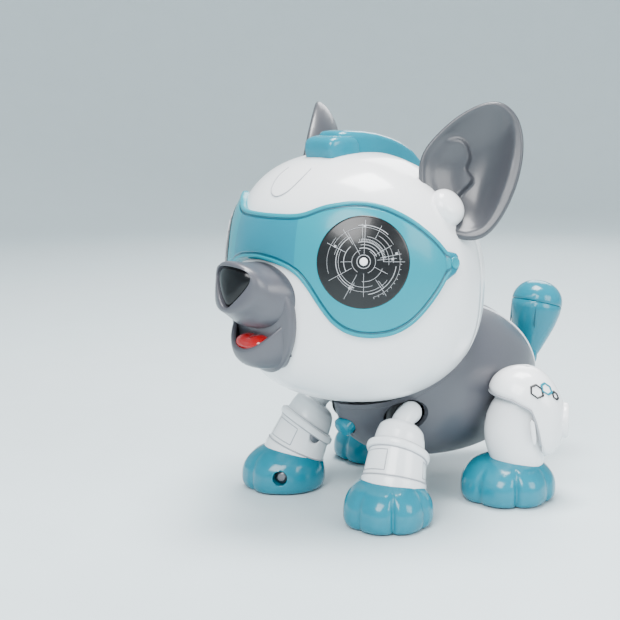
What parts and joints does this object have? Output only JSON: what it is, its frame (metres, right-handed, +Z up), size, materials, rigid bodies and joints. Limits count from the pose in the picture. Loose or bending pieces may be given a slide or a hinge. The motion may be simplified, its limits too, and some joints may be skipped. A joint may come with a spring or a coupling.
{
  "type": "robot dog toy",
  "caption": "Sitting robot puppy with a round visored head that turns, scoop ears, a swinging tail, jointed legs, a chest button and a belly battery bay",
  "frame": {"origin": "on the floor, under the middle of the puppy's length and width", "axes": "+X the puppy's left, +Y towards its tail, +Z up; it looks along -Y"},
  "size_m": [0.1286, 0.1963, 0.1657],
  "materials": {
    "white_shell": "glossy moulded white plastic",
    "white_trim": "glossy moulded white plastic",
    "teal_shell": "glossy moulded teal plastic",
    "teal_visor": "glossy moulded teal plastic",
    "gray_shell": "satin moulded gray plastic",
    "gray_ear": "satin moulded gray plastic",
    "black_gloss": "glossy black plastic",
    "lens": "glossy dark eye cover with a pale printed pattern",
    "tongue_red": "glossy red plastic",
    "steel": "zinc-plated steel screws and contacts",
    "dark_inner": "plain dark inner plastic",
    "board": "coated circuit board",
    "cell_wrap": "plain wrapped dry cells"
  },
  "bodies": {
    "torso": {"torso_left_shell": "gray_shell", "torso_right_shell": "gray_shell", "spine_cover": "gray_shell", "neck_collar": "gray_shell", "battery_tray": "dark_inner", "battery_cells": "cell_wrap", "battery_contacts": "steel", "main_board": "board", "speaker": "dark_inner", "button_switch": "dark_inner", "switch_housing": "dark_inner", "shoulder_bush_left": "dark_inner", "shoulder_bush_right": "dark_inner"},
    "head": {"head_front_shell": "white_shell", "head_back_shell": "white_shell", "head_joining_rib": "dark_inner", "head_screws": "steel", "goggles": "teal_visor", "goggle_studs": "black_gloss", "eye_lens_left": "lens", "eye_lens_right": "lens", "eye_lamp_board_left": "board", "eye_lamp_board_right": "board", "muzzle": "gray_shell", "nose": "black_gloss", "tongue": "tongue_red", "crest": "teal_shell", "touch_plate": "board", "neck_post": "dark_inner", "ear_hub_left": "white_trim", "ear_hub_right": "white_trim"},
    "left_ear": {"ear_left": "gray_ear"},
    "right_ear": {"ear_right": "gray_ear"},
    "front_left_elbow": {"front_left_elbow": "white_shell"},
    "front_left_leg": {"front_left_leg_outer": "white_shell", "front_left_leg_inner": "white_shell", "front_left_paw": "teal_shell", "front_left_screws": "steel"},
    "rear_left_leg": {"rear_left_leg": "white_shell", "rear_left_thigh_cover": "white_shell", "rear_left_knob": "white_trim", "rear_left_hip_peg": "dark_inner"},
    "rear_left_paw": {"rear_left_paw": "teal_shell"},
    "front_right_elbow": {"front_right_elbow": "white_shell"},
    "front_right_leg": {"front_right_leg_outer": "white_shell", "front_right_leg_inner": "white_shell", "front_right_paw": "teal_shell", "front_right_screws": "steel"},
    "rear_right_leg": {"rear_right_leg": "white_shell", "rear_right_thigh_cover": "white_shell", "rear_right_knob": "white_trim", "rear_right_hip_peg": "dark_inner"},
    "rear_right_paw": {"rear_right_paw": "teal_shell"},
    "tail": {"tail_body": "teal_shell", "tail_cap": "teal_shell"},
    "chest_button": {"chest_button": "teal_shell"},
    "power_switch": {"power_switch": "dark_inner"},
    "battery_door": {"battery_door": "gray_shell"}
  },
  "joints": [
    {"name": "head_turn", "type": "hinge", "parent": "torso", "child": "head", "pos_m": [0, -0.029, 0.0945], "axis": [0, -0.2588, 0.9659], "range_deg": [-35, 35]},
    {"name": "left_ear_turn", "type": "hinge", "parent": "head", "child": "left_ear", "pos_m": [0, -0.029, 0.0945], "axis": [0.8079, 0.1352, 0.5736], "range_deg": [-25, 25]},
    {"name": "right_ear_turn", "type": "hinge", "parent": "head", "child": "right_ear", "pos_m": [0, -0.029, 0.0945], "axis": [0.8079, -0.1352, -0.5736], "range_deg": [-25, 25]},
    {"name": "front_left_swing", "type": "hinge", "parent": "torso", "child": "front_left_elbow", "pos_m": [0.02, -0.0188, 0.0374], "axis": [1, 0, 0], "range_deg": [-7, 7]},
    {"name": "front_left_twist", "type": "hinge", "parent": "front_left_elbow", "child": "front_left_leg", "pos_m": [0.0318, -0.037, 0.013], "axis": [-0.1939, 0.3748, 0.9066], "range_deg": [-20, 20]},
    {"name": "front_right_swing", "type": "hinge", "parent": "torso", "child": "front_right_elbow", "pos_m": [-0.02, -0.0188, 0.0374], "axis": [1, 0, 0], "range_deg": [-7, 7]},
    {"name": "front_right_twist", "type": "hinge", "parent": "front_right_elbow", "child": "front_right_leg", "pos_m": [-0.0318, -0.037, 0.013], "axis": [-0.1939, -0.3748, -0.9066], "range_deg": [-20, 20]},
    {"name": "rear_left_swing", "type": "hinge", "parent": "torso", "child": "rear_left_leg", "pos_m": [0.03, 0.032, 0.04], "axis": [1, 0, 0], "range_deg": [-15, 15]},
    {"name": "rear_left_ankle", "type": "hinge", "parent": "rear_left_leg", "child": "rear_left_paw", "pos_m": [0.0445, 0.025, 0.0135], "axis": [0, 0, 1], "range_deg": [-20, 20]},
    {"name": "rear_right_swing", "type": "hinge", "parent": "torso", "child": "rear_right_leg", "pos_m": [-0.03, 0.032, 0.04], "axis": [1, 0, 0], "range_deg": [-15, 15]},
    {"name": "rear_right_ankle", "type": "hinge", "parent": "rear_right_leg", "child": "rear_right_paw", "pos_m": [-0.0445, 0.025, 0.0135], "axis": [0, 0, -1], "range_deg": [-20, 20]},
    {"name": "tail_wag", "type": "hinge", "parent": "torso", "child": "tail", "pos_m": [0, 0.0805, 0.0475], "axis": [0, 1, 0], "range_deg": [-18, 18]},
    {"name": "chest_button_press", "type": "slide", "parent": "torso", "child": "chest_button", "axis": [0, 0.8601, 0.5101], "range_m": [0, 0.0012], "stiffness_N_per_m": 400},
    {"name": "power_switch_slide", "type": "slide", "parent": "torso", "child": "power_switch", "axis": [0, 1, 0], "range_m": [-0.002, 0.002]},
    {"name": "battery_door_release", "type": "slide", "parent": "torso", "child": "battery_door", "axis": [0, 0, -1], "range_m": [0, 0.008]}
  ]
}
